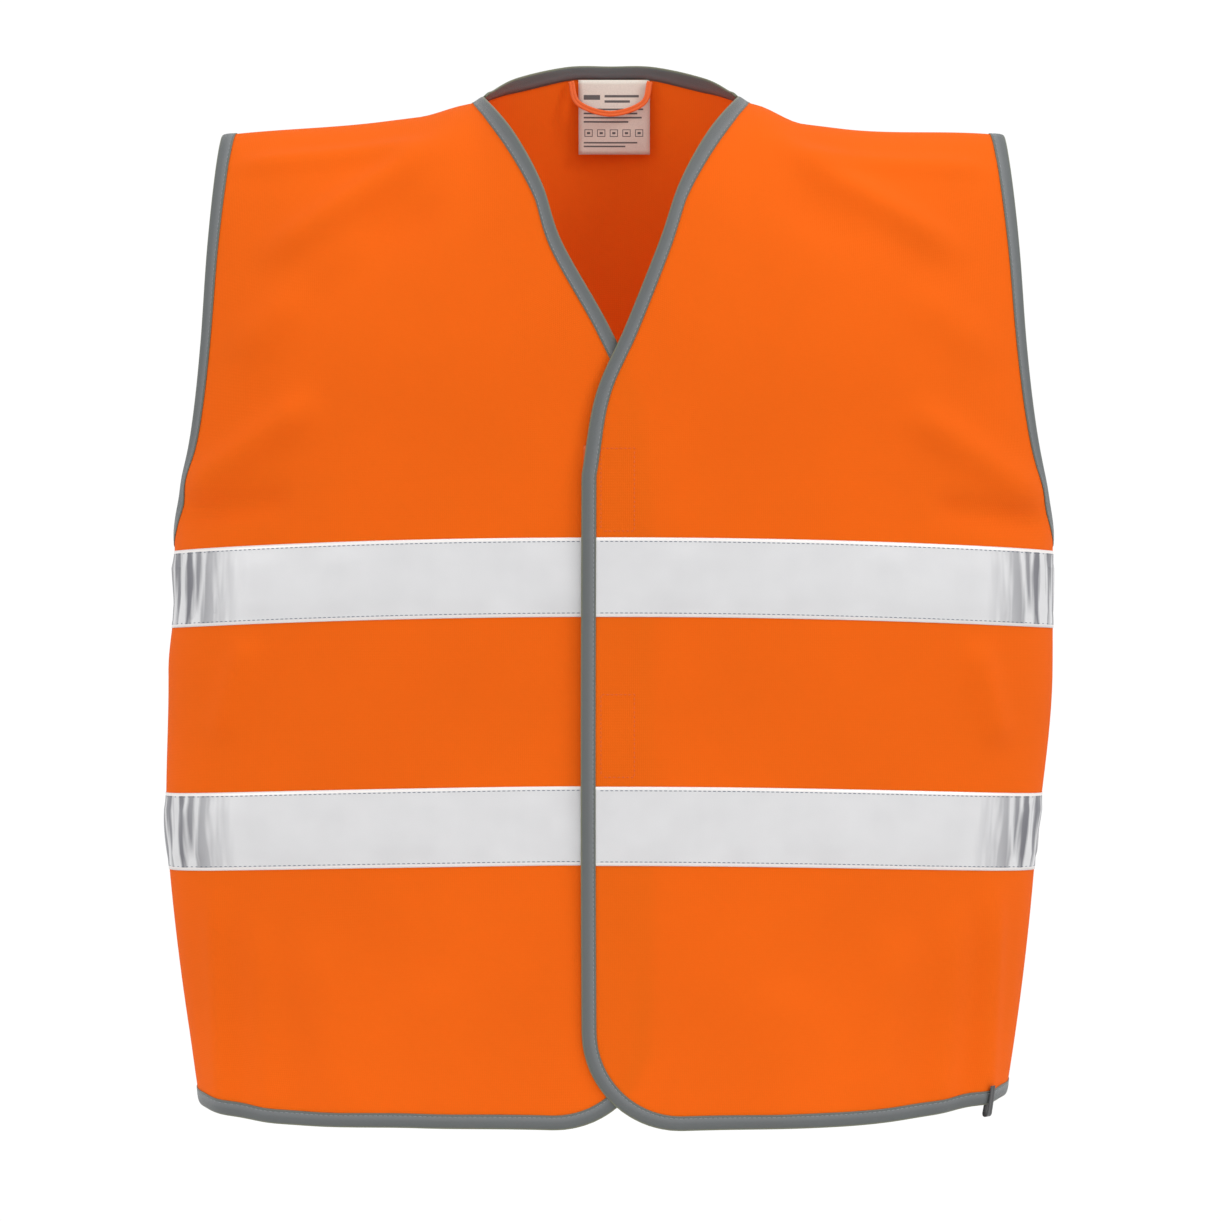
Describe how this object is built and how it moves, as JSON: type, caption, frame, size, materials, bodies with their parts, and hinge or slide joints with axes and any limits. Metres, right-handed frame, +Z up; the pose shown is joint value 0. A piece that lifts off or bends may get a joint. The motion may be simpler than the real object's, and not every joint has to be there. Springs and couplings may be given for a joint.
{
  "type": "high visibility vest",
  "caption": "Sleeveless orange high visibility vest with reflective tapes, bound edges, a V neck and a hook-and-loop front that opens.",
  "frame": {"origin": "midway between the two points where the shoulder seams meet the neck edge, where a wearer or a stand carries the vest", "axes": "+X to the wearer's left, +Y to the wearer's back, +Z up"},
  "size_m": [0.5798, 0.2128, 0.693],
  "materials": {
    "orange_fabric": "fluorescent orange warp-knitted polyester, slightly see-through, soft sheen",
    "reflective_tape": "silver glass-bead reflective tape, fine grain, sewn along both edges",
    "grey_binding": "grey folded polyester edge binding, satin",
    "hook_tape": "orange hook tape, short stiff hooks",
    "loop_tape": "orange loop tape, brushed pile",
    "orange_loop": "folded strip of the orange fabric, sewn closed",
    "label_cloth": "off-white woven label with plain printed bars",
    "black_tape": "black woven tape, folded over the hem"
  },
  "bodies": {
    "vest_body": {"back_panel": "orange_fabric", "back_upper_tape": "reflective_tape", "back_lower_tape": "reflective_tape", "back_neck_binding": "grey_binding", "back_hem_binding": "grey_binding", "hem_tag": "black_tape", "left_front_side_panel": "orange_fabric", "left_front_side_upper_tape": "reflective_tape", "left_front_side_lower_tape": "reflective_tape", "left_front_neck_binding": "grey_binding", "left_front_hem_binding": "grey_binding", "left_front_armhole_binding": "grey_binding", "left_back_armhole_binding": "grey_binding", "right_front_side_panel": "orange_fabric", "right_front_side_upper_tape": "reflective_tape", "right_front_side_lower_tape": "reflective_tape", "right_front_neck_binding": "grey_binding", "right_front_hem_binding": "grey_binding", "right_front_armhole_binding": "grey_binding", "right_back_armhole_binding": "grey_binding", "size_label": "label_cloth"},
    "left_front_flap": {"left_front_flap_panel": "orange_fabric", "left_front_flap_upper_tape": "reflective_tape", "left_front_flap_lower_tape": "reflective_tape", "left_front_flap_edge_binding": "grey_binding", "upper_hook_patch": "hook_tape", "lower_hook_patch": "hook_tape"},
    "right_front_flap": {"right_front_flap_panel": "orange_fabric", "right_front_flap_upper_tape": "reflective_tape", "right_front_flap_lower_tape": "reflective_tape", "right_front_flap_edge_binding": "grey_binding", "upper_loop_patch": "loop_tape", "lower_loop_patch": "loop_tape"},
    "hanger_loop": {"hanger_loop": "orange_loop"}
  },
  "joints": [
    {"name": "left_front_open", "type": "hinge", "parent": "vest_body", "child": "left_front_flap", "pos_m": [0.047, -0.1078, 0], "axis": [-0.1693, 0, 0.9856], "range_deg": [0, 140]},
    {"name": "right_front_open", "type": "hinge", "parent": "vest_body", "child": "right_front_flap", "pos_m": [-0.047, -0.1078, 0], "axis": [-0.1693, 0, -0.9856], "range_deg": [0, 63]},
    {"name": "hanger_loop_lift", "type": "hinge", "parent": "vest_body", "child": "hanger_loop", "pos_m": [0, 0.0662, 0.0265], "axis": [-1, 0, 0], "range_deg": [0, 150]}
  ],
  "couplings": [
    {"joint": "right_front_open", "follows": "left_front_open", "ratio": 0.45}
  ]
}
